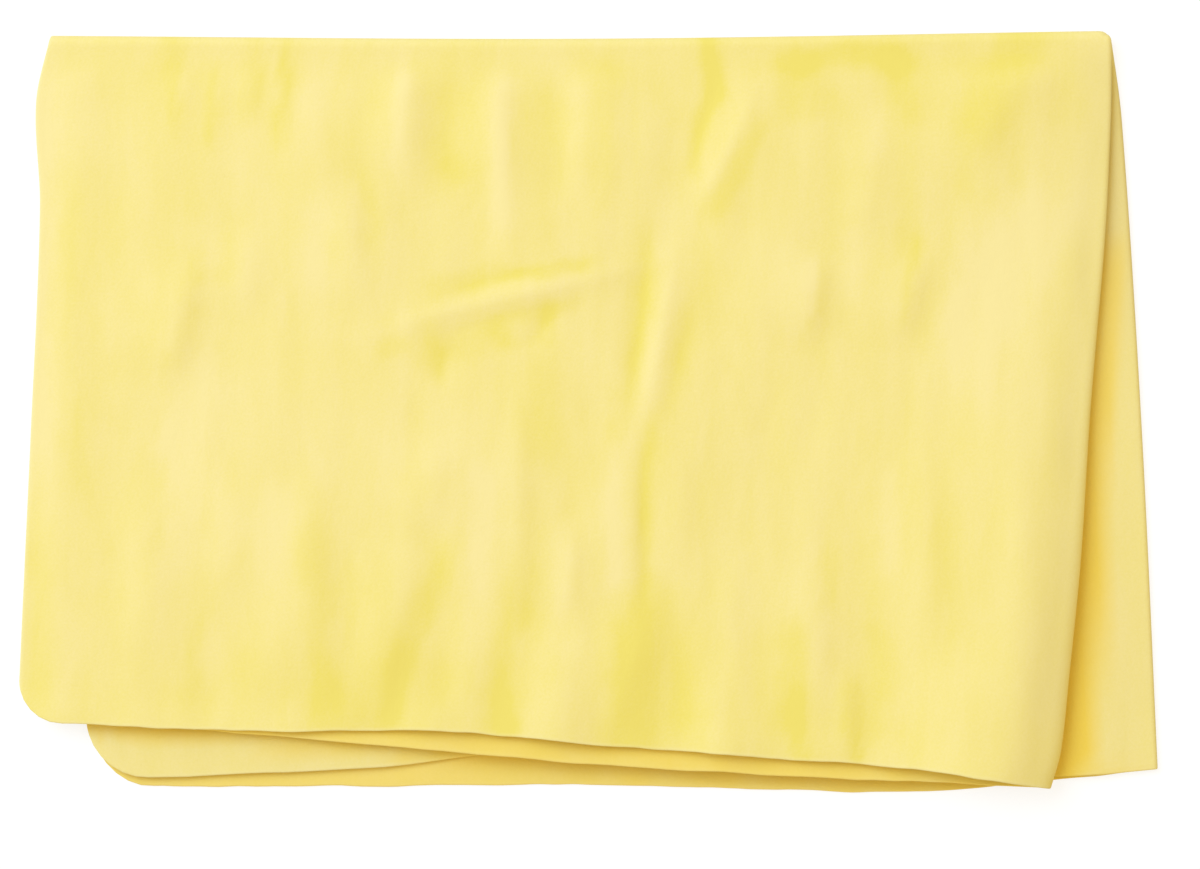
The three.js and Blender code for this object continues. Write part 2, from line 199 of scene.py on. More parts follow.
# Relief of the front outer leaf. Places are millimetres left of and below the folds' crossing. A
# stroke runs down or to the left. It has a height, which is negative for a groove, its reach to its
# left or upper side, its reach to its right or lower side, and its way
STROKES = (
    # The main crease, in two lengths, with its flanks and the grooves to its left
    (0.3, 1.6, 2.0, ((106, 14), (110, 24), (118, 40), (129, 62))),
    (0.55, 3.0, 6.5, ((103, 8), (109, 23), (117, 40), (128, 66))),
    (-1.3, 4.2, 3.8, ((120, -16), (121, 4), (122, 20), (125, 36), (129, 54))),
    (0.25, 1.6, 2.2, ((129, 52), (132, 68), (137.5, 97), (142.5, 123), (143.5, 140))),
    (0.65, 3.0, 4.2, ((127, 50), (131, 68), (136.5, 97), (142, 132))),
    (-0.65, 3.6, 2.6, ((138.5, 48), (140, 68), (142.5, 92), (147, 126))),
    (-0.55, 3.4, 5.5, ((122, 66), (126, 82), (132, 106), (138, 132))),
    (-0.45, 3.2, 2.8, ((140, 110), (142, 134), (141.5, 156), (141, 184))),
    (0.9, 12.0, 3.0, ((144, 116), (145, 140), (145, 160), (144, 186))),
    (1.4, 13.0, 7.0, ((138, 165), (145, 190), (152, 212), (157, 228))),
    # The crease that crosses it
    (0.4, 2.6, 2.6, ((128, 69), (155, 74), (172, 77), (194, 80.5))),
    (0.35, 2.0, 2.2, ((140, 74), (168, 78), (186, 81.5), (208, 87), (232, 95))),
    (0.5, 3.5, 5.0, ((140, 74), (168, 78), (186, 81.5), (208, 87), (232, 95))),
    (-0.5, 2.6, 5.5, ((158, 81.5), (171, 84), (185, 87), (200, 92), (214, 97))),
    (-0.6, 4.0, 2.6, ((168, 71), (184, 75), (196, 78), (206, 81))),
    (-0.6, 3.2, 3.2, ((198, 92), (201, 98), (202, 104), (203, 110))),
    (-0.6, 3.0, 3.0, ((166, 82), (170, 87), (174, 93), (180, 98))),
    # Ripples at the upper left
    (0.88, 4.0, 2.4, ((280, -14), (280, 14), (279, 38))),
    (0.79, 3.5, 2.4, ((269.5, -10), (269, 14), (268, 38))),
    (0.79, 3.5, 2.4, ((260.5, -10), (260, 14), (259, 38))),
    (0.88, 4.0, 2.6, ((252, -14), (251.5, 14), (250, 46))),
    (0.88, 6.0, 3.0, ((240, 10), (239, 34), (237, 62))),
    # Soft folds that run down from the top
    (1.75, 5.0, 6.0, ((214, -18), (213, 12), (213, 34), (210, 56))),
    (-0.88, 6.0, 5.0, ((200, 4), (200, 26), (201, 52))),
    (1.57, 4.5, 5.5, ((184, -18), (184, 20), (183, 54), (180, 88))),
    (-0.7, 5.0, 5.0, ((169, 10), (168, 32), (166, 58))),
    (1.23, 8.0, 6.0, ((156, -16), (153, 20), (149, 58))),
    (1.23, 7.0, 4.0, ((230, 40), (229, 64), (224, 90))),
    (1.75, 9.0, 2.6, ((277, 66), (279, 80), (281, 94), (284, 110))),
    (0.88, 5.0, 4.0, ((262, 56), (261, 72), (262, 90))),
    # Soft folds of the lower part
    (1.57, 16.0, 4.0, ((180, 94), (179.5, 126), (179, 160), (181, 206))),
    (1.57, 12.0, 5.0, ((246, 132), (244, 154), (242, 178), (243, 200))),
    (1.75, 12.0, 6.0, ((214, 150), (215, 172), (219, 194), (222, 216))),
    (1.05, 7.0, 4.0, ((203, 118), (204, 136), (207, 156))),
    (1.23, 5.0, 4.0, ((163, 144), (163, 162), (165, 184))),
    (1.23, 8.0, 5.0, ((192, 170), (192, 192), (195, 220))),
    (1.05, 9.0, 6.0, ((268, 124), (266, 150), (268, 184))),
    (1.05, 9.0, 6.0, ((292, 130), (291, 160), (290, 196))),
    # Short strokes of the right part
    (1.4, 7.0, 2.4, ((88, 64), (89, 76), (90.5, 88), (93, 98))),
    (1.4, 8.0, 2.8, ((57, 62), (59, 74), (62, 86), (66, 98))),
    (1.75, 10.0, 9.0, ((14, -10), (24, 6), (35, 24), (47, 48))),
    (1.4, 6.0, 8.0, ((62, 8), (76, 7), (94, 9))),
    (0.88, 6.0, 4.0, ((72, 22), (72, 44), (76, 70))),
    (1.23, 9.0, 4.0, ((90, 152), (89, 176), (88, 200), (87, 222))),
    (1.23, 4.0, 2.6, ((80, 190), (80, 204), (79, 224))),
    (0.88, 6.0, 4.0, ((56, 120), (56, 150), (56, 196))),
    (0.88, 7.0, 5.0, ((116, 150), (115, 176), (112, 210))),
)

# Painted shade and painted highlight along the front outer leaf's folds: where its colour is deeper
# or, below nought, paler. These strokes have an amount instead of a height
FOLD_PAINTED_SHADES = (
    # Darker folds and paler lines of the upper left
    (0.5, 3.5, 3.5, ((285, -14), (284, 10), (282, 38))),
    (0.5, 2.1, 2.1, ((270, 6), (271, 40))),
    (0.35, 3.2, 3.2, ((260, -4), (260, 33))),
    (0.6, 2.1, 2.5, ((250, -4), (252, 42))),
    (-0.2, 4.2, 4.2, ((241, 5), (240, 44))),
    (0.14, 6.4, 6.4, ((225, -6), (227, 51))),
    (-0.3, 2.5, 2.8, ((213, -2), (215, 49))),
    (0.22, 9.9, 9.9, ((199, -4), (200, 55))),
    (0.25, 4.9, 4.9, ((202, 37), (193, 47))),
    (-0.35, 3.2, 3.2, ((184, 2), (185, 73))),
    (0.3, 1.4, 1.4, ((187, -1), (187, 12))),
    (0.26, 6.0, 5.6, ((174, 5), (173, 76))),
    (0.36, 4.9, 4.9, ((154, -2), (153, 62))),
    (0.32, 4.6, 4.6, ((308, 30), (313, 62), (315, 108), (313, 150))),
    (0.15, 8.5, 8.5, ((277, 26), (276, 62))),
    (0.35, 2.1, 2.1, ((275, 62), (279, 90), (287, 110))),
    (0.2, 2.8, 2.8, ((267, 60), (265, 79))),
    (-0.2, 3.5, 3.5, ((272, 58), (272, 86), (279, 121))),
    (-0.25, 4.2, 4.2, ((238, 47), (239, 86))),
    (0.22, 2.5, 2.5, ((222, 33), (223, 87))),
    (-0.4, 5.7, 5.7, ((322, -9), (323, 33), (320, 83), (322, 146))),
    # Shade about the crossing crease
    (0.25, 4.2, 3.6, ((209, 80), (196, 76), (181, 72))),
    (0.5, 2.3, 2.1, ((187, 74), (170, 73), (152, 70))),
    (0.38, 3.0, 3.0, ((205, 85), (204, 107))),
    (0.3, 3.2, 3.2, ((222, 97), (210, 96))),
    (0.3, 4.6, 4.6, ((212, 98), (193, 96), (176, 90))),
    (0.34, 2.8, 2.8, ((185, 83), (185, 97))),
    (0.34, 3.5, 3.2, ((182, 87), (171, 84), (158, 82))),
    (0.35, 2.8, 2.8, ((167, 79), (171, 97))),
    (0.3, 7.1, 7.1, ((172, 90), (172, 136))),
    # Shade and crests of the main crease
    (0.8, 3.5, 3.9, ((120, -8), (121, 9), (122, 27))),
    (0.35, 2.8, 2.8, ((123, 19), (128, 48))),
    (0.5, 3.9, 4.2, ((105, 22), (113, 42), (125, 62))),
    (-0.2, 2.8, 2.8, ((135, 44), (135, 74))),
    (0.33, 3.2, 2.6, ((140, 46), (140, 70), (142, 93), (147, 124))),
    (0.32, 3.9, 5.3, ((124, 60), (129, 90), (134, 112), (140, 144))),
    (0.33, 2.6, 2.6, ((137, 110), (141, 131), (142, 154))),
    (0.32, 3.4, 3.4, ((142, 134), (142, 157), (142, 182))),
    (0.3, 3.6, 3.6, ((149, 104), (149, 126))),
    # Depths and the pale field of the upper right
    (0.62, 4.2, 4.2, ((107, 8), (93, 10), (80, 7), (68, 9), (56, 9))),
    (0.25, 7.8, 7.8, ((96, 9), (88, 31))),
    (0.45, 4.2, 4.2, ((65, 3), (60, 31))),
    (0.27, 4.2, 4.2, ((61, 23), (61, 76))),
    (-0.2, 3.2, 3.2, ((71, 13), (73, 44))),
    (0.55, 8.5, 7.1, ((14, -26), (25, 2), (35, 20), (44, 42))),
    (0.15, 7.1, 7.1, ((38, 24), (46, 56))),
    (0.15, 9.0, 7.1, ((12, 0), (16, 34))),
    (-0.38, 12.0, 10.6, ((8, 38), (35, 76), (47, 122))),
    (0.35, 1.4, 1.4, ((86, 64), (89, 83), (93, 97))),
    (0.35, 2.1, 2.1, ((58, 60), (61, 83), (65, 95))),
    (-0.22, 4.9, 4.9, ((79, 58), (78, 85))),
    (-0.2, 2.5, 2.5, ((92, 67), (92, 81))),
    # The soft shade beside the side fold
    (0.08, 4.6, 6.4, ((8, 44), (12, 76), (16, 115), (19, 150), (23, 189), (28, 235))),
    # Folds of the lower left
    (0.15, 4.6, 4.6, ((309, 108), (309, 146))),
    (0.3, 4.9, 4.9, ((318, 143), (321, 175), (323, 212))),
    (-0.3, 5.6, 5.6, ((281, 108), (278, 171))),
    (0.22, 2.8, 2.8, ((265, 125), (265, 143))),
    (-0.15, 4.9, 4.9, ((253, 132), (253, 180))),
    (0.48, 4.2, 5.2, ((243, 131), (240, 158), (240, 185), (232, 222))),
    (0.3, 2.8, 2.8, ((270, 161), (277, 185), (280, 212))),
    (0.48, 5.2, 4.2, ((195, 148), (207, 172), (214, 191), (220, 222))),
    (0.2, 9.2, 9.2, ((222, 153), (223, 217))),
    (0.2, 2.5, 2.5, ((177, 104), (178, 168))),
    (0.45, 5.2, 4.6, ((177, 155), (183, 189), (185, 222))),
    (0.4, 2.8, 2.8, ((182, 196), (183, 221))),
    (-0.32, 3.9, 3.9, ((188, 125), (192, 184))),
    (-0.12, 3.9, 3.9, ((166, 150), (168, 196))),
    (0.14, 7.8, 7.8, ((272, 189), (243, 192))),
    # Folds of the lower right
    (-0.33, 2.8, 2.8, ((149, 125), (152, 176))),
    (0.65, 8.2, 9.2, ((140, 160), (144, 192), (147, 240))),
    (0.3, 6.4, 6.4, ((126, 175), (129, 217))),
    (0.5, 4.9, 4.9, ((96, 175), (97, 217))),
    (0.5, 2.8, 2.8, ((95, 194), (94, 226))),
    (0.3, 2.8, 2.8, ((85, 152), (87, 180))),
    (0.65, 2.8, 2.8, ((81, 191), (79, 226))),
    (0.2, 3.5, 3.5, ((72, 177), (69, 206))),
    (-0.25, 3.5, 3.5, ((68, 125), (68, 168))),
    (0.16, 4.6, 4.6, ((53, 139), (52, 196))),
    (0.12, 12.7, 12.7, ((35, 146), (36, 224))),
)
# How much those strokes count, how they fade at their ends, and the noise that shifts them: width
# of its cells, and most
TONE_STRENGTH = 0.85
TONE_END_FADE = 0.25
TONE_SHIFTS = ((16, 1.9), (5, 1.1))

# Waves that lift the bottom edges, in the same form, of the front half and of the back inner leaf
LIFTS = (
    (2.4, 16.0, 12.0, ((50, 180), (47, 212), (45, 264))),
    (1.4, 7.0, 8.0, ((86, 198), (86, 214), (86, 262))),
    (3.4, 11.0, 15.0, ((116, 184), (117, 212), (118, 262))),
    (3.2, 18.0, 12.0, ((166, 172), (167, 206), (168, 258))),
    (1.9, 7.0, 9.0, ((203, 190), (204, 210), (206, 258))),
    (1.4, 18.0, 16.0, ((252, 170), (254, 204), (256, 250))),
)
# How much of the front half's lifts its inner leaf takes
INNER_LIFT_SHARE = 0.45
BACK_LIFTS = (
    (1.2, 12.0, 12.0, ((2, 186), (1, 210), (0, 250))),
    (1.1, 16.0, 16.0, ((292, 176), (292, 204), (292, 250))),
    (0.9, 14.0, 14.0, ((252, 176), (252, 204), (252, 250))),
    (0.9, 12.0, 12.0, ((176, 186), (176, 210), (176, 250))),
)
# Short waves of the bottom edges: width of their cells, height, waver in plan, and reach inwards
RUFFLES = ((13, 0.5, 0.25), (6, 0.28, 0.16))
RUFFLE_REACH = 12
# How strokes fade at their ends, as a share of their length, and how round their crests are
STROKE_END_FADE = 0.42
CREST_ROUNDING = 0.5

# The leaf's loft off the leaf under it, and how far from its edges it comes down
LOFT = 1.7
NEAR_SIDE = 12
NEAR_TOP = 12
LOFT_CLEAR = 34
LOFT_CLEAR_SIDE = 120
SHOULDER_SHARE = 0.55
SHOULDER_REACH = 13
LOFT_AT_EDGE = 0.35
# The rise along the free edge: height, distance from the edge, and reach to either side
EDGE_ROLL_HEIGHT = 0.9
EDGE_ROLL_PLACE = 11
EDGE_ROLL_REACH = (6, 7)
# How gently the relief bottoms out
LOWEST = 0.3

# Waves of the loft: width and length of their cells, and height
SWELLS = ((27, 66, 0.5), (12, 40, 0.38), (7, 30, 0.2), (4.5, 9, 0.07))
# How far the places of those waves are shifted about, and over what distance
SWELL_SHIFT = 3
SWELL_SHIFT_CELL = 36

# The halves part towards the bottom: the rise of the level between them, as a share of the way down
HALVES_PART = 0.009
# The most that the back inner leaf rises, as a share of the way down, to stay under the level
# between the halves
BACK_ROOM = 0.0054
# Rounding, in plan, of the corner where the folds cross
CROSSING_RADIUS = 3.6
# Steps along the sheet with which its slope is measured
PROBE = 0.002
# The least length that anything is divided by
TINY = 0.002

# Seeds of the noise, and how many cells it has each way before it repeats
SWELL_SEED = 11
TONE_SEED = 12
EDGE_SEED = 13
TAN_SEED = 14
RUFFLE_SEED = 50
NOISE_CELLS = 97


def lattice_noise(rng, x, y, cell_x, cell_y):
    """Smooth noise from -1 to 1 with one value for each cell."""
    u = x / cell_x
    v = y / cell_y
    i = np.floor(u).astype(int)
    j = np.floor(v).astype(int)
    table = rng.uniform(-1, 1, (NOISE_CELLS, NOISE_CELLS))
    i %= NOISE_CELLS - 1
    j %= NOISE_CELLS - 1
    a = ease(u - np.floor(u))
    b = ease(v - np.floor(v))
    low = lerp(table[i, j], table[i + 1, j], a)
    high = lerp(table[i, j + 1], table[i + 1, j + 1], a)
    return lerp(low, high, b)


def beside_stroke(stroke, x, y):
    """For places left of and below the crossing: their distance from a stroke, in reaches, and how
    far along it they lie."""
    left_reach, right_reach, way = stroke[1:]
    way = np.array(way, float)
    steps = np.diff(way, axis=0)
    lengths = np.hypot(steps[:, 0], steps[:, 1])
    before = np.concatenate([[0], np.cumsum(lengths)])
    best = np.full(x.shape, np.inf)
    side = np.zeros(x.shape)
    place = np.zeros(x.shape)
    for start, step, length, gone in zip(way, steps, lengths, before):
        ox = x - start[0]
        oy = y - start[1]
        share = np.clip((ox * step[0] + oy * step[1]) / length**2, 0, 1)
        dx = ox - share * step[0]
        dy = oy - share * step[1]
        distance = np.hypot(dx, dy)
        nearer = distance < best
        best = np.where(nearer, distance, best)
        side = np.where(nearer, step[0] * dy - step[1] * dx, side)
        place = np.where(nearer, (gone + share * length) / before[-1], place)
    return best / np.where(side < 0, left_reach, right_reach), place


def stroke_rise(stroke, x, y):
    """The rise that one stroke gives at places left of and below the crossing."""
    spread, place = beside_stroke(stroke, x, y)
    profile = np.exp(CREST_ROUNDING - np.sqrt(spread**2 + CREST_ROUNDING**2))
    taper = ease(np.minimum(place, 1 - place) / STROKE_END_FADE)
    return stroke[0] * profile * taper


def stroke_painted_shade(stroke, x, y):
    """How much painted shade, or below nought painted highlight, one stroke gives at places left of
    and below the crossing.
    """
    spread, place = beside_stroke(stroke, x, y)
    taper = ease(np.minimum(place, 1 - place) / TONE_END_FADE)
    return stroke[0] * np.exp(-(spread**3)) * taper


def front_relief(x, y, inset, drop, length, cut_inset, cut_drop):
    """How far the front outer leaf stands off the leaf under it."""
    from_free = TOP_FOLD_LENGTH - inset
    from_bottom = length - drop
    shoulder = ease((inset - cut_inset) / SHOULDER_REACH)
    clear_side = lerp(ease((inset - cut_inset) / LOFT_CLEAR_SIDE), shoulder, SHOULDER_SHARE)
    clear_top = ease((drop - cut_drop) / LOFT_CLEAR)
    clear_free = lerp(LOFT_AT_EDGE, 1, ease(from_free / LOFT_CLEAR))
    clear_bottom = lerp(LOFT_AT_EDGE, 1, ease(from_bottom / LOFT_CLEAR))
    rise = LOFT * clear_side * clear_top * clear_free * clear_bottom
    left = -x
    below = -y
    near_side = ease((inset - cut_inset) / NEAR_SIDE)
    near_top = ease((drop - cut_drop) / NEAR_TOP)
    strokes = sum(stroke_rise(stroke, left, below) for stroke in STROKES + LIFTS)
    off = from_free - EDGE_ROLL_PLACE
    reach = np.where(off < 0, EDGE_ROLL_REACH[0], EDGE_ROLL_REACH[1])
    edge_roll = EDGE_ROLL_HEIGHT * np.exp(-((off / reach) ** 2))
    rng = np.random.default_rng(SWELL_SEED)
    cell = SWELL_SHIFT_CELL
    shift_left = SWELL_SHIFT * lattice_noise(rng, left, below, cell, cell)
    shift_down = SWELL_SHIFT * lattice_noise(rng, left, below, cell, cell)
    swell = 0
    for wide, tall, most in SWELLS:
        noise = lattice_noise(rng, left + shift_left, below + shift_down, wide, tall)
        swell = swell + most * noise
    rise = rise + (strokes + edge_roll + swell) * near_side * near_top
    return (rise + np.sqrt(rise**2 + LOWEST**2)) / 2 - LOWEST / 2


def round_corner(x, y):
    """Places in plan, with those at the folds' crossing drawn in to a rounded corner."""
    across = x + CROSSING_RADIUS
    down = y + CROSSING_RADIUS
    near = (across > 0) & (down > 0)
    farthest = np.maximum(np.maximum(across, down), TINY)
    pull = np.where(near, farthest / np.maximum(np.hypot(across, down), TINY), 1)
    return across * pull - CROSSING_RADIUS, down * pull - CROSSING_RADIUS


def ruffles(x, from_bottom, leaf_number):
    """The rise and the waver in plan that the short waves of one leaf's bottom edge give."""
    rng = np.random.default_rng(RUFFLE_SEED + leaf_number)
    nearness = ease(1 - from_bottom / RUFFLE_REACH)
    rise = 0
    waver = 0
    for cell, height, sway in RUFFLES:
        rise = rise + height * (1 + lattice_noise(rng, x, 0 * x, cell, cell)) / 2
        waver = waver + sway * lattice_noise(rng, x, 0 * x, cell, cell)
    return rise * nearness, waver * nearness


def crest_of(s, t, reach):
    """How far each place of the front outer leaf stands above those around it."""
    here = folded(s, t)[..., 2]
    around = 0
    for way in ((1, 0), (-1, 0), (0, 1), (0, -1)):
        beside_s = np.clip(s + reach * way[0], SIDE_CUT, HALF_WIDTH)
        beside_t = np.clip(t + reach * way[1], TOP_CUT, HALF_HEIGHT)
        around = around + folded(beside_s, beside_t)[..., 2] / 4
    inside = ease((s - SIDE_CUT) / reach) * ease((t - TOP_CUT) / reach)
    inside = inside * ease((HALF_WIDTH - s) / reach) * ease((HALF_HEIGHT - t) / reach)
    return np.where((s > SIDE_CUT) & (t > TOP_CUT), (here - around) * inside, 0)


def roll_growth(t):
    """How much the loose roll adds to the side fold's radius, at distances from the top fold."""
    return ROLL_GROWTH * ease((t / HALF_HEIGHT - ROLL_START) / (1 - ROLL_START)) * (t > 0)


def folded_leaf(s, t, key):
    """The middle of the sheet's thickness, folded, on the leaf that key names."""
    outer, front = key
    shape = LEAVES[key]
    s_sign = 1 if outer else -1
    t_sign = 1 if front else -1
    sideways = np.abs(s)
    downways = np.abs(t)
    top_angle = np.minimum(downways / TOP_RADIUS, QUARTER_TURN)
    turn = t_sign * np.sin(top_angle)
    beyond_top = np.maximum(downways - QUARTER_TURN * TOP_RADIUS, 0)
    growth = roll_growth(t)
    radius = SIDE_RADIUS + growth
    side_angle = np.minimum(sideways / radius, QUARTER_TURN)
    layer = s_sign * np.sin(side_angle)
    beyond_side = np.maximum(sideways - QUARTER_TURN * radius, 0)
    cut_inset = SKIN + radius + SIDE_CUT - QUARTER_TURN * radius
    inset = SKIN + radius * (1 - np.cos(side_angle)) + beyond_side
    share = (sideways - SIDE_CUT) / (HALF_WIDTH - SIDE_CUT)
    inset = np.where(sideways > SIDE_CUT, lerp(cut_inset, TOP_FOLD_LENGTH, share), inset)
    across = inset / TOP_FOLD_LENGTH
    length = lerp(shape["side_length"], shape["free_length"], across)
    drop = BEND_DEPTH - (TOP_RADIUS + SIDE_RADIUS * layer) * np.cos(top_angle) + beyond_top
    cut_drop = BEND_DEPTH + TOP_CUT - QUARTER_TURN * TOP_RADIUS
    share = (downways - TOP_CUT) / (HALF_HEIGHT - TOP_CUT)
    drop = np.where(downways > TOP_CUT, lerp(cut_drop, length, share), drop)
    plan = plan_point(shape, across, drop / length)
    x, y = round_corner(plan[..., 0], plan[..., 1])
    ruffle, waver = ruffles(x, length - drop, 2 * outer + front)
    near_side = ease((inset - cut_inset) / NEAR_SIDE)
    y = y + waver * near_side
    height = BEND_DEPTH + turn * (TOP_RADIUS + SIDE_RADIUS * layer)
    past_roll = np.maximum(inset - cut_inset, 0) / ROLL_REACH
    open_share = 1 - ease(past_roll) if outer else 1
    pinch = lerp(ROLL_PINCH, 1, ease(inset / PINCH_REACH))
    height = height + growth * (1 + layer) * open_share * pinch
    if front:
        height = height + HALVES_PART * np.maximum(drop - cut_drop, 0)
    if outer and front:
        height = height + front_relief(x, y, inset, drop, length, cut_inset, cut_drop)
    elif front:
        lift = sum(stroke_rise(stroke, -x, -y) for stroke in LIFTS)
        height = height + INNER_LIFT_SHARE * lift * near_side
    elif not outer:
        lift = sum(stroke_rise(stroke, -x, -y) for stroke in BACK_LIFTS)
        room = BACK_ROOM * np.maximum(drop - cut_drop, TINY)
        height = height + room * np.tanh((lift + ruffle) * near_side / room)
    if front:
        height = height + ruffle * near_side
    return np.stack([x, y, height], axis=-1)


def folded(s, t):
    """The middle of the sheet's thickness, folded, for points of the flat sheet."""
    out = np.zeros(s.shape + (3,))
    for key in LEAVES:
        mine = ((s >= 0) == bool(key[0])) & ((t >= 0) == bool(key[1]))
        out[mine] = folded_leaf(s[mine], t[mine], key)
    return out


# Grid lines of the sheet, closest where it bends and at its cut edges
RIM = (0.6, 0.36, 0.16, 0.04, 0)
FOLD_ROWS = (
    0.03, 0.06, 0.1, 0.14, 0.19, 0.27, 0.36, 0.46, 0.6, 0.85, 1.2, 1.6, 2.1, 2.6, 3.6, 4.6, TOP_CUT,
)
FOLD_COLUMNS = (0.25, 0.55, 0.9, 1.3, 1.8, 2.5, 3.4, 4.4, 5.4, 6.4, 7.8, SIDE_CUT)
# Runs of a leaf's lines: where each ends, as a share of the leaf, and how many steps it has
OUTER_RUNS = ((0.29, 36), (0.51, 54), (0.75, 36), (1, 26))
INNER_RUNS = ((1, 50),)
FRONT_RUNS = ((0.2, 20), (0.46, 42), (1, 54))
BACK_RUNS = ((1, 36),)
CORNER_STEPS = 7
# How far columns and rows keep from those of the cut edge, and how round that edge is
COLUMN_CLEARANCE = 0.3
ROW_CLEARANCE = 2
RIM_ROUNDNESS = 2.6


def places(runs):
    """Places from 0 to 1 in runs of even steps, without the first."""
    start = 0
    out = []
    for end, steps in runs:
        out.append(np.linspace(start, end, steps + 1)[1:])
        start = end
    return np.concatenate(out)


def columns(runs):
    """Distances from the side fold of one leaf's columns."""
    corner_start = HALF_WIDTH - BACK_CORNER_RADIUS
    corner = corner_start + BACK_CORNER_RADIUS * np.sin(
        QUARTER_TURN * np.arange(1, CORNER_STEPS) / CORNER_STEPS
    )
    rim = HALF_WIDTH - np.array(RIM)
    corner = corner[corner < rim[0] - COLUMN_CLEARANCE]
    straight = lerp(SIDE_CUT, corner_start, places(runs))
    return np.concatenate([FOLD_COLUMNS, straight, corner, rim])


outer_columns = columns(OUTER_RUNS)
inner_columns = columns(INNER_RUNS)
column_s = np.concatenate([-inner_columns[::-1], [0], outer_columns])


def reach_down(sideways, corner_radius):
    """How far down the sheet reaches, with its rounded corner."""
    into = np.clip(sideways - HALF_WIDTH + corner_radius, 0, corner_radius)
    return HALF_HEIGHT - corner_radius + np.sqrt(corner_radius**2 - into**2)


def rows(sideways, corner_radius, runs):
    """Distances from the top fold of one half's rows, for each column."""
    end = reach_down(sideways, corner_radius)
    near = np.broadcast_to(FOLD_ROWS, (len(sideways), len(FOLD_ROWS)))
    middle = TOP_CUT + (end - ROW_CLEARANCE - TOP_CUT)[:, None] * places(runs)
    rim = end[:, None] - np.array(RIM)
    return np.concatenate([near, middle, rim], axis=1)


sideways = np.abs(column_s)
front_t = rows(sideways, FRONT_CORNER_RADIUS, FRONT_RUNS)
back_t = rows(sideways, BACK_CORNER_RADIUS, BACK_RUNS)
t = np.concatenate([-back_t[:, ::-1], np.zeros((len(column_s), 1)), front_t], axis=1)
s = np.broadcast_to(column_s[:, None], t.shape)


def edge_distance(s, t):
    """Distance of a point of the flat sheet from its cut edge."""
    radius = np.where(t >= 0, FRONT_CORNER_RADIUS, BACK_CORNER_RADIUS)
    to_side = HALF_WIDTH - np.abs(s)
    to_end = HALF_HEIGHT - np.abs(t)
    in_corner = (to_side < radius) & (to_end < radius)
    corner = radius - np.hypot(radius - to_side, radius - to_end)
    return np.maximum(np.where(in_corner, corner, np.minimum(to_side, to_end)), 0)


# The middle of the sheet's thickness, and its two faces, which close at the cut edge
middle = folded(s, t)
step_s = folded(s + PROBE, t) - folded(s - PROBE, t)
step_t = folded(s, t + PROBE) - folded(s, t - PROBE)
normal = np.cross(step_s, step_t)
normal /= np.linalg.norm(normal, axis=-1, keepdims=True)
into_rim = np.clip(1 - edge_distance(s, t) / RIM[0], 0, 1)
thick = SKIN * (1 - into_rim**RIM_ROUNDNESS) ** (1 / RIM_ROUNDNESS)
face_out = middle + normal * thick[..., None]
face_in = middle - normal * thick[..., None]

# One closed mesh: both faces of the sheet, which share the points of the cut edge
column_count, row_count = t.shape
rim_mask = np.zeros(t.shape, bool)
rim_mask[0, :] = rim_mask[-1, :] = True
rim_mask[:, 0] = rim_mask[:, -1] = True
out_index = np.arange(t.size).reshape(t.shape)
in_index = out_index.copy()
inner_places = ~rim_mask
in_index[inner_places] = t.size + np.arange(inner_places.sum())
points = np.concatenate([face_out.reshape(-1, 3), face_in[inner_places]])


def quads(index, flip):
    """Faces between neighbouring columns and rows of points."""
    a, b = index[:-1, :-1], index[1:, :-1]
    c, d = index[1:, 1:], index[:-1, 1:]
    order = (a, d, c, b) if flip else (a, b, c, d)
    return np.stack([q.ravel() for q in order], axis=1)


faces = np.concatenate([quads(out_index, False), quads(in_index, True)])

# The folds cross this far above the hinge's line, in plan
CROSSING_ABOVE_JOINT = 0.3

joint = frame["joints"][0]
CROSSING = (joint["pos_m"][0] / MM, joint["pos_m"][1] / MM + CROSSING_ABOVE_JOINT, 0)
points = (points + CROSSING) * MM
mesh = bpy.data.meshes.new("chamois_cloth")
mesh.from_pydata([tuple(p) for p in points], [], [tuple(f) for f in faces])
mesh.validate()
for polygon in mesh.polygons:
    polygon.use_smooth = True
cloth = bpy.data.objects.new("chamois_cloth", mesh)
bpy.context.scene.collection.objects.link(cloth)

# Painted golden shade in the gap beside the front half's side edge: how far beyond that edge it is
# full, and how strong it is there: (share of the way down, millimetres or amount). Then the
# distance over which it fades
GAP_CORE = ((0, 4.5), (0.3, 4.5), (0.5, 5), (0.75, 6), (0.9, 7.5), (1, 8))
GAP_STRENGTH = (
    (0, 0), (0.2, 0), (0.26, 0), (0.31, 0.55), (0.4, 0.66), (0.55, 0.85), (0.8, 0.97), (1, 1),
)
GAP_SHELTER = 5
# Painted shade under a bottom edge: how far it reaches, least and most, where it widens from one to
# the other, how uneven it is, and how strong it is, on the lowest leaf as a share of the others'
EDGE_SHELTER = (5, 16)
EDGE_WIDENING = (-238, 80)
EDGE_UNEVENNESS = 0.5
EDGE_CELL = (9, 3)
BOTTOM_SHELTER = 0.86
LOWEST_SHELTER = 0.6
# How far under an edge the painted shade fades, and the least of it on the sheet's inner face
UNDER_SHELTER = 8
INSIDE_PAINTED_SHADE = 0.6
# Points along an edge from which distances to it are measured
EDGE_POINTS = 60
# Painted tan shade: how much of it the front half has beside its side fold, how far from the edge
# and over what reach; how much the back half has, and its strip beside that edge, where the strip
# fades, and where it starts
TAN_FRONT = 0.34
TAN_PLACE = 4
TAN_REACH = 7.5
TAN_BACK = 0.17
TAN_STRIP = 0.6
TAN_FADE = (62, 48)
TAN_TOP = 14
TAN_UNEVENNESS = 0.3
TAN_CELL = (5, 18)
# Painted shade in hollows and painted highlight on crests: how far beside a place the relief is
# compared with it, and how much that counts; then the share of it that makes crests paler
CREST_REACHES = ((2.5, 1.2), (7, 0.35))
CREST_PAINTED_HIGHLIGHT = 0.3
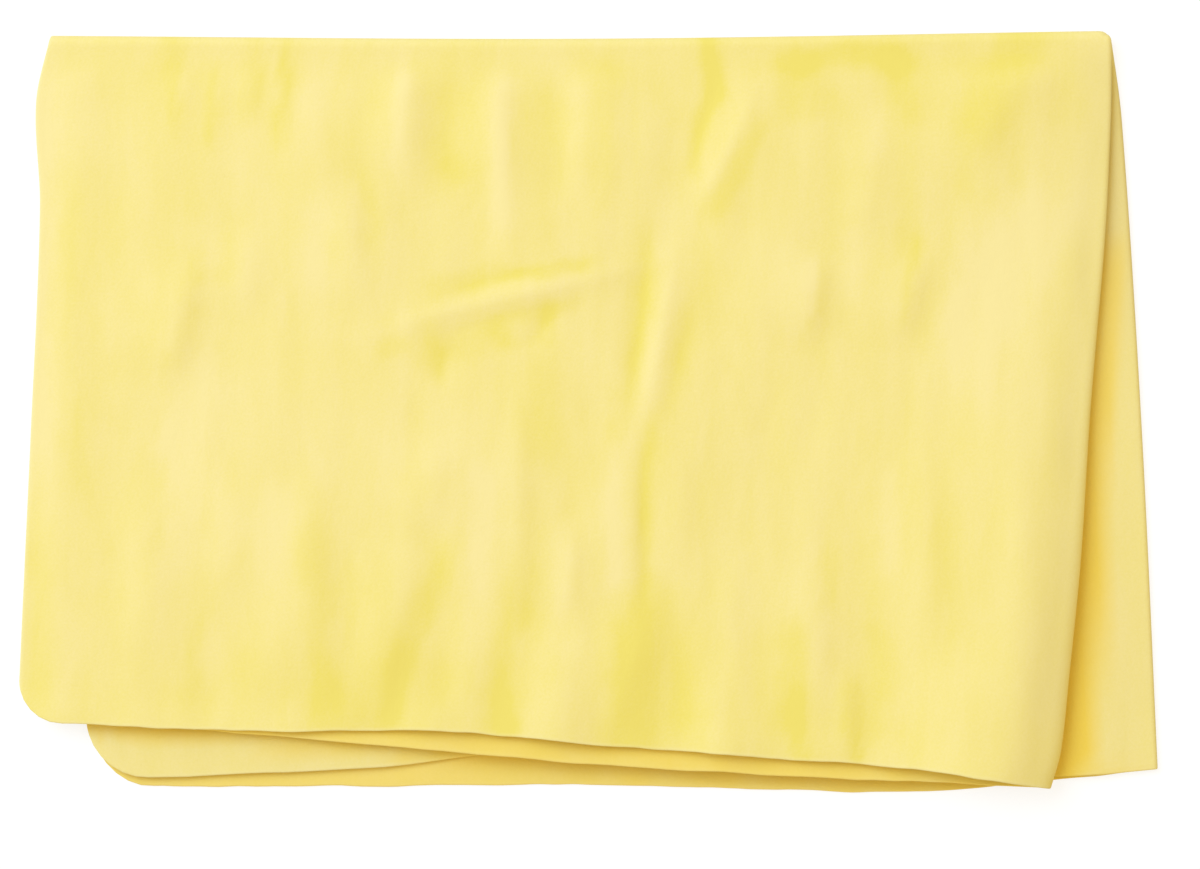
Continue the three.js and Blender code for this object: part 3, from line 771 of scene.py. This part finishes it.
# Depth of the cloth's colour, and large patches of the front outer leaf where it is deeper or,
# below nought, paler: amount, place left of and below the crossing, and reach both ways
PLAIN_DEPTH = 0.3
PATCHES = (
    (0.2, 74, 12, 56, 22),
    (0.1, 219, 168, 26, 18),
    (0.1, 140, 190, 60, 16),
    (0.08, 60, 150, 50, 40),
    (-0.13, 244, 122, 50, 26),
    (0.14, 218, 197, 44, 13),
)
# Painted shade at the front outer leaf's bottom edge: how much deeper the colour is there, and how
# far up
BOTTOM_PAINTED_SHADE = 0.15
BOTTOM_REACH = 34


def beyond_line(points, place, across):
    """How far places lie to one side of a line through points, by their place along it."""
    order = np.argsort(points[:, 0])
    return np.interp(place, points[order, 0], points[order, 1]) - across


def beyond_bottom_of(key, x, y):
    """How far beyond one leaf's bottom edge places lie, in plan."""
    bottom = LEAVES[key]["bottom"](np.linspace(0, 1, EDGE_POINTS))
    return beyond_line(bottom, x, y)


def beyond_side(x, y):
    """How far beyond the front half's side edge places lie, in plan."""
    side = LEAVES[(1, 1)]["side"](np.linspace(0, 1, EDGE_POINTS))
    return -beyond_line(side[:, ::-1], y, x)


def painted_tan_shade(middle, t):
    """From 0 to 1, how much painted tan shade the cloth has beside the side fold and on the back
    half.
    """
    x, y = middle[..., 0], middle[..., 1]
    beyond = beyond_side(x, y)
    rng = np.random.default_rng(TAN_SEED)
    uneven = 1 + TAN_UNEVENNESS * lattice_noise(rng, x, y, *TAN_CELL)
    front = TAN_FRONT * np.exp(-(((beyond + TAN_PLACE) / TAN_REACH) ** 2))
    high = 1 - ease((-y - TAN_FADE[0]) / TAN_FADE[1])
    back = lerp(TAN_BACK, TAN_STRIP, high * ease(1 + beyond / UNDER_SHELTER))
    return np.clip(np.where(t > 0, front, back) * uneven * ease(-y / TAN_TOP), 0, 1)


def shade_under_bottom_of(key, x, y):
    """From 0 to 1, the painted shade that one leaf's bottom edge casts on places of the leaves
    under it.
    """
    beyond = beyond_bottom_of(key, x, y)
    rng = np.random.default_rng(EDGE_SEED)
    uneven = 1 + EDGE_UNEVENNESS * lattice_noise(rng, x, y, *EDGE_CELL)
    widening = ease((x - EDGE_WIDENING[0]) / EDGE_WIDENING[1])
    reach = lerp(EDGE_SHELTER[0], EDGE_SHELTER[1], widening) * uneven
    return BOTTOM_SHELTER * (1 - ease(beyond / reach)) * ease(1 + beyond / UNDER_SHELTER)


def golden_painted_shade(middle, s, t):
    """From 0 to 1, the painted golden shade on each place of the leaves below the edges of those
    above.
    """
    x, y = middle[..., 0], middle[..., 1]
    beyond = beyond_side(x, y)
    down = np.clip(-y / HALF_HEIGHT, 0, 1)
    from_side = 1 - ease((beyond - along(GAP_CORE, down)) / GAP_SHELTER)
    from_side = from_side * ease(1 + beyond / UNDER_SHELTER)
    from_side = from_side * along(GAP_STRENGTH, down)
    from_above = np.maximum(from_side, shade_under_bottom_of((1, 1), x, y))
    angle = np.minimum(np.abs(s) / (SIDE_RADIUS + roll_growth(t)), QUARTER_TURN)
    layer = np.sign(s) * np.sin(angle)
    covered = np.where(t > 0, (1 - layer) / 2, 1)
    from_above = from_above * covered
    from_front = np.where(t < 0, shade_under_bottom_of((0, 1), x, y), 0)
    from_back = np.where((t < 0) & (s > 0), LOWEST_SHELTER * shade_under_bottom_of((0, 0), x, y), 0)
    return np.maximum(from_above, np.maximum(from_front, from_back))


def front_painted_shade(x, y):
    """How much deeper the front outer leaf's colour is: painted shade and painted highlight along
    its folds, its patches, and painted shade towards its bottom edge."""
    rng = np.random.default_rng(TONE_SEED)
    left, below = -x, -y
    for cell, most in TONE_SHIFTS:
        left = left + most * lattice_noise(rng, -x, -y, cell, cell)
        below = below + most * lattice_noise(rng, -x, -y, cell, cell)
    out = TONE_STRENGTH * sum(stroke_painted_shade(stroke, left, below) for stroke in FOLD_PAINTED_SHADES)
    for amount, patch_left, patch_below, wide, tall in PATCHES:
        across = (left - patch_left) / wide
        down = (below - patch_below) / tall
        out = out + amount * np.exp(-(across**2) - down**2)
    return out + BOTTOM_PAINTED_SHADE * ease(1 + beyond_bottom_of((1, 1), x, y) / BOTTOM_REACH)


def keep_for_material(name, values):
    """Stores a number for each point of the mesh."""
    layer = mesh.attributes.new(name, "FLOAT", "POINT")
    layer.data.foreach_set("value", values.astype(np.float32))


# Where each point lies on the flat sheet, in millimetres, and what else the material needs
sheet_place = np.stack([s, t, np.zeros(t.shape)], axis=-1)
sheet_in = sheet_place + (0, 0, 1)
place = np.concatenate([sheet_place.reshape(-1, 3), sheet_in[inner_places]])
flat_place = mesh.attributes.new("flat_place", "FLOAT_VECTOR", "POINT")
flat_place.data.foreach_set("vector", place.astype(np.float32).ravel())
# Painted golden shade in the gap beside the side fold, under the bottom edges and on the sheet's
# inner face
painted_shade = golden_painted_shade(middle, s, t)
painted_shade = np.concatenate([painted_shade.ravel(), np.maximum(painted_shade, INSIDE_PAINTED_SHADE)[inner_places]])
keep_for_material("painted_shade", painted_shade)
# Painted tan shade beside the front half's side fold and over the back half
tan_shade = painted_tan_shade(middle, t)
keep_for_material("tan_shade", np.concatenate([tan_shade.ravel(), tan_shade[inner_places]]))
# Painted shade in hollows and painted highlight on crests, then the painted shade and highlight
# along the front outer leaf's folds
crest = sum(gain * crest_of(s, t, reach) for reach, gain in CREST_REACHES)
depth_and_painted_shade = PLAIN_DEPTH - np.where(crest > 0, CREST_PAINTED_HIGHLIGHT, 1) * crest
on_front = (s > 0) & (t > 0)
depth_and_painted_shade[on_front] += front_painted_shade(middle[on_front][:, 0], middle[on_front][:, 1])
keep_for_material("depth_and_painted_shade", np.concatenate([depth_and_painted_shade.ravel(), depth_and_painted_shade[inner_places]]))

# Colours of the cloth: palest and deepest, painted tan shade, painted golden shade, and along a
# worn cut edge
PALE = (0.96, 0.83, 0.365, 1)
DEEP = (0.895, 0.768, 0.17, 1)
TAN_SHADE = (0.76, 0.62, 0.24, 1)
GOLD_SHADE = (0.92, 0.67, 0.075, 1)
WORN = (0.95, 0.87, 0.47, 1)
# The most of the last two, and how far from the cut edge it is worn
GOLD_SHADE_SHARE = 0.9
WORN_SHARE = 0.35
WORN_REACH = 1.6
# The material's noise: where most of it lies, the size of its features across, along and through
# the sheet, how much they change the colour's depth, and how high they stand
NOISE_RANGE = (0.3, 0.7)
STREAK_CELL = (8, 30, 5)
STREAK_DEPTH = 0.1
BLOTCH_CELL = (34, 46, 3)
BLOTCH_DEPTH = 0.07
NAP_CELL = (0.8, 0.8, 0.8)
NAP_DEPTH = 0.1
NAP_HEIGHT = 0.1
FIBRE_CELL = (0.35, 2.4, 1)
FIBRE_HEIGHT = 0.07
DIMPLE_CELL = (2.6, 2.6, 2.6)
DIMPLE_HEIGHT = 0.16
# The surface's gloss
ROUGHNESS = (0.82, 0.97)
SPECULAR = 0.25
SHEEN = 0.12
SHEEN_ROUGHNESS = 0.45
SHEEN_TINT = (1, 0.95, 0.75, 1)


class Tree:
    """Short calls for the nodes of one material."""

    def __init__(self, name):
        self.material = bpy.data.materials.new(name)
        self.material.use_nodes = True
        self.nodes = self.material.node_tree.nodes
        self.links = self.material.node_tree.links

    def add(self, kind, **values):
        node = self.nodes.new(kind)
        for key, value in values.items():
            setattr(node, key, value)
        return node

    def join(self, source, node, name):
        self.links.new(source, node.inputs[name])

    def attribute(self, name):
        return self.add("ShaderNodeAttribute", attribute_name=name)

    def stretched(self, source, scale):
        node = self.add("ShaderNodeVectorMath", operation="MULTIPLY")
        self.links.new(source, node.inputs[0])
        node.inputs[1].default_value = scale
        return node.outputs[0]

    def noise(self, source, cell, detail, roughness=0.5, distortion=0):
        """Noise whose features are about as wide, long and deep as cell, in millimetres."""
        node = self.add("ShaderNodeTexNoise")
        self.join(self.stretched(source, [1 / size for size in cell]), node, "Vector")
        node.inputs["Scale"].default_value = 1
        node.inputs["Detail"].default_value = detail
        node.inputs["Roughness"].default_value = roughness
        node.inputs["Distortion"].default_value = distortion
        return node.outputs["Fac"]

    def ranged(self, source, low, high, to_low, to_high, smooth=True):
        node = self.add("ShaderNodeMapRange")
        node.interpolation_type = "SMOOTHSTEP" if smooth else "LINEAR"
        self.join(source, node, "Value")
        for name, value in zip(
            ("From Min", "From Max", "To Min", "To Max"), (low, high, to_low, to_high)
        ):
            node.inputs[name].default_value = value
        return node.outputs["Result"]

    def swing(self, noise, most):
        """Noise made to run from -most to most."""
        return self.ranged(noise, *NOISE_RANGE, -most, most)

    def math(self, operation, first, second):
        node = self.add("ShaderNodeMath", operation=operation)
        for socket, value in zip(node.inputs, (first, second)):
            if isinstance(value, (int, float)):
                socket.default_value = value
            else:
                self.links.new(value, socket)
        return node.outputs[0]

    def mix(self, share, first, second):
        node = self.add("ShaderNodeMix", data_type="RGBA")
        self.links.new(share, node.inputs[0])
        for socket, value in ((node.inputs[6], first), (node.inputs[7], second)):
            if isinstance(value, tuple):
                socket.default_value = value
            else:
                self.links.new(value, socket)
        return node.outputs[2]

    def bump(self, height, distance, strength, normal=None):
        node = self.add("ShaderNodeBump")
        node.inputs["Strength"].default_value = strength
        node.inputs["Distance"].default_value = distance * MM
        self.join(height, node, "Height")
        if normal is not None:
            self.join(normal, node, "Normal")
        return node.outputs["Normal"]


def cloth_material():
    tree = Tree("chamois")
    place = tree.attribute("flat_place").outputs["Vector"]
    painted_shade = tree.attribute("painted_shade").outputs["Fac"]
    tan_shade = tree.attribute("tan_shade").outputs["Fac"]
    depth_and_painted_shade = tree.attribute("depth_and_painted_shade").outputs["Fac"]

    # Colour: depth, which carries painted shade and painted highlight, with soft streaks, blotches
    # and the nap, worn cut edges, painted tan shade and painted golden shade
    streaks = tree.noise(place, STREAK_CELL, detail=4, roughness=0.6, distortion=0.3)
    streaks = tree.swing(streaks, STREAK_DEPTH)
    blotches = tree.swing(tree.noise(place, BLOTCH_CELL, detail=2), BLOTCH_DEPTH)
    nap = tree.noise(place, NAP_CELL, detail=4, roughness=0.6)
    fuzz = tree.swing(nap, NAP_DEPTH)
    depth_and_painted_shade = tree.math("ADD", tree.math("ADD", depth_and_painted_shade, streaks), tree.math("ADD", blotches, fuzz))
    colour = tree.mix(tree.ranged(depth_and_painted_shade, 0, 1, 0, 1, False), PALE, DEEP)
    split = tree.add("ShaderNodeSeparateXYZ")
    tree.join(place, split, 0)
    to_side = tree.math("SUBTRACT", HALF_WIDTH, tree.math("ABSOLUTE", split.outputs[0], 0))
    to_end = tree.math("SUBTRACT", HALF_HEIGHT, tree.math("ABSOLUTE", split.outputs[1], 0))
    to_edge = tree.math("MINIMUM", to_side, to_end)
    colour = tree.mix(tree.ranged(to_edge, 0, WORN_REACH, WORN_SHARE, 0), colour, WORN)
    # Painted tan shade, then painted golden shade
    colour = tree.mix(tree.ranged(tan_shade, 0, 1, 0, 1, False), colour, TAN_SHADE)
    colour = tree.mix(tree.ranged(painted_shade, 0, 1, 0, GOLD_SHADE_SHARE, False), colour, GOLD_SHADE)

    # Surface: a fine nap over faint fibres and shallow dimples
    fibres = tree.noise(place, FIBRE_CELL, detail=3, roughness=0.6)
    dimples = tree.noise(place, DIMPLE_CELL, detail=2)
    normal = tree.bump(dimples, DIMPLE_HEIGHT, 0.5)
    normal = tree.bump(fibres, FIBRE_HEIGHT, 0.5, normal)
    normal = tree.bump(nap, NAP_HEIGHT, 0.6, normal)

    shader = tree.nodes["Principled BSDF"]
    tree.join(colour, shader, "Base Color")
    tree.join(tree.ranged(nap, *NOISE_RANGE, *ROUGHNESS), shader, "Roughness")
    tree.join(normal, shader, "Normal")
    shader.inputs["Specular IOR Level"].default_value = SPECULAR
    shader.inputs["Sheen Weight"].default_value = SHEEN
    shader.inputs["Sheen Roughness"].default_value = SHEEN_ROUGHNESS
    shader.inputs["Sheen Tint"].default_value = SHEEN_TINT
    return tree.material


mesh.materials.append(cloth_material())

# Floor, lamps and world
FLOOR_SIZE = 6000
FLOOR_DROP = 0.05
FLOOR_COLOUR = (0.8, 0.8, 0.8, 1)
FLOOR_SEEN_COLOUR = (0.27, 0.27, 0.27, 1)
FLOOR_GLOW = 0.79
WORLD_LIGHT = 0.72
WORLD_COLOUR = (1, 0.838, 0.513)
KEY_LIGHT = 0.862
KEY_COLOUR = (0.5, 0.675, 1)
KEY_SIZE = 3200
KEY_DISTANCE = 4500
KEY_AZIMUTH = 142
KEY_ELEVATION = 50

floor_mesh = bpy.data.meshes.new("floor")
half = FLOOR_SIZE * MM / 2
floor_mesh.from_pydata(
    [(-half, -half, 0), (half, -half, 0), (half, half, 0), (-half, half, 0)], [], [(0, 1, 2, 3)]
)
floor = bpy.data.objects.new("floor", floor_mesh)
floor.location.z = -FLOOR_DROP * MM
bpy.context.scene.collection.objects.link(floor)


def seen_rays(nodes, links):
    """1 for rays of the camera, and for those that a gloss or glass sends on."""
    path = nodes.new("ShaderNodeLightPath")
    first = nodes.new("ShaderNodeMath")
    first.operation = "MAXIMUM"
    links.new(path.outputs["Is Camera Ray"], first.inputs[0])
    links.new(path.outputs["Is Glossy Ray"], first.inputs[1])
    second = nodes.new("ShaderNodeMath")
    second.operation = "MAXIMUM"
    links.new(first.outputs[0], second.inputs[0])
    links.new(path.outputs["Is Transmission Ray"], second.inputs[1])
    return second.outputs[0]


def floor_material():
    """Plain for light that falls on the cloth, and paler for what the camera sees."""
    material = bpy.data.materials.new("floor")
    material.use_nodes = True
    nodes = material.node_tree.nodes
    links = material.node_tree.links
    nodes.clear()
    plain = nodes.new("ShaderNodeBsdfDiffuse")
    plain.inputs["Color"].default_value = FLOOR_COLOUR
    dim = nodes.new("ShaderNodeBsdfDiffuse")
    dim.inputs["Color"].default_value = FLOOR_SEEN_COLOUR
    glow = nodes.new("ShaderNodeEmission")
    glow.inputs["Strength"].default_value = FLOOR_GLOW
    lifted = nodes.new("ShaderNodeAddShader")
    links.new(dim.outputs[0], lifted.inputs[0])
    links.new(glow.outputs[0], lifted.inputs[1])
    mix = nodes.new("ShaderNodeMixShader")
    links.new(seen_rays(nodes, links), mix.inputs[0])
    links.new(plain.outputs[0], mix.inputs[1])
    links.new(lifted.outputs[0], mix.inputs[2])
    output = nodes.new("ShaderNodeOutputMaterial")
    links.new(mix.outputs[0], output.inputs["Surface"])
    return material


floor_mesh.materials.append(floor_material())

world = bpy.data.worlds.new("studio")
bpy.context.scene.world = world
world.use_nodes = True
nodes = world.node_tree.nodes
links = world.node_tree.links
background = nodes["Background"]
background.inputs["Color"].default_value = (*WORLD_COLOUR, 1)
background.inputs["Strength"].default_value = WORLD_LIGHT
backdrop = nodes.new("ShaderNodeBackground")
backdrop.inputs["Color"].default_value = (1, 1, 1, 1)
seen = nodes.new("ShaderNodeMixShader")
links.new(seen_rays(nodes, links), seen.inputs[0])
links.new(background.outputs[0], seen.inputs[1])
links.new(backdrop.outputs[0], seen.inputs[2])
links.new(seen.outputs[0], nodes["World Output"].inputs["Surface"])


def soft_lamp(name, azimuth, elevation, distance, size, light, colour):
    """A square lamp that gives a surface facing it this share of full light."""
    lamp = bpy.data.lights.new(name, "AREA")
    lamp.shape = "SQUARE"
    lamp.size = size * MM
    lamp.energy = light * math.pi**2 * (distance * MM) ** 2
    lamp.color = colour
    holder = bpy.data.objects.new(name, lamp)
    turn, rise = math.radians(azimuth), math.radians(elevation)
    holder.location = (
        distance * MM * math.cos(rise) * math.cos(turn),
        distance * MM * math.cos(rise) * math.sin(turn),
        distance * MM * math.sin(rise),
    )
    holder.rotation_euler = (0, math.pi / 2 - rise, turn)
    bpy.context.scene.collection.objects.link(holder)


soft_lamp("key", KEY_AZIMUTH, KEY_ELEVATION, KEY_DISTANCE, KEY_SIZE, KEY_LIGHT, KEY_COLOUR)

camera_data = bpy.data.cameras.new("camera")
camera_data.sensor_width = SENSOR_WIDTH
camera_data.lens = SENSOR_WIDTH * (CAMERA_HEIGHT - CLOTH_TOP) / PICTURE_WIDTH
camera_data.clip_end = CAMERA_REACH
camera = bpy.data.objects.new("camera", camera_data)
camera.location = (PICTURE_MIDDLE[0] * MM, PICTURE_MIDDLE[1] * MM, CAMERA_HEIGHT * MM)
bpy.context.scene.collection.objects.link(camera)
bpy.context.scene.camera = camera
bpy.context.scene.view_settings.view_transform = "Standard"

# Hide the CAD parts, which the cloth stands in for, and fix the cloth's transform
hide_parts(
    "back_outer_leaf", "back_inner_leaf", "back_side_fold",
    "front_outer_leaf", "front_inner_leaf", "front_side_fold",
    "outer_top_fold", "inner_top_fold", "centre_corner",
)
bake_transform(cloth)
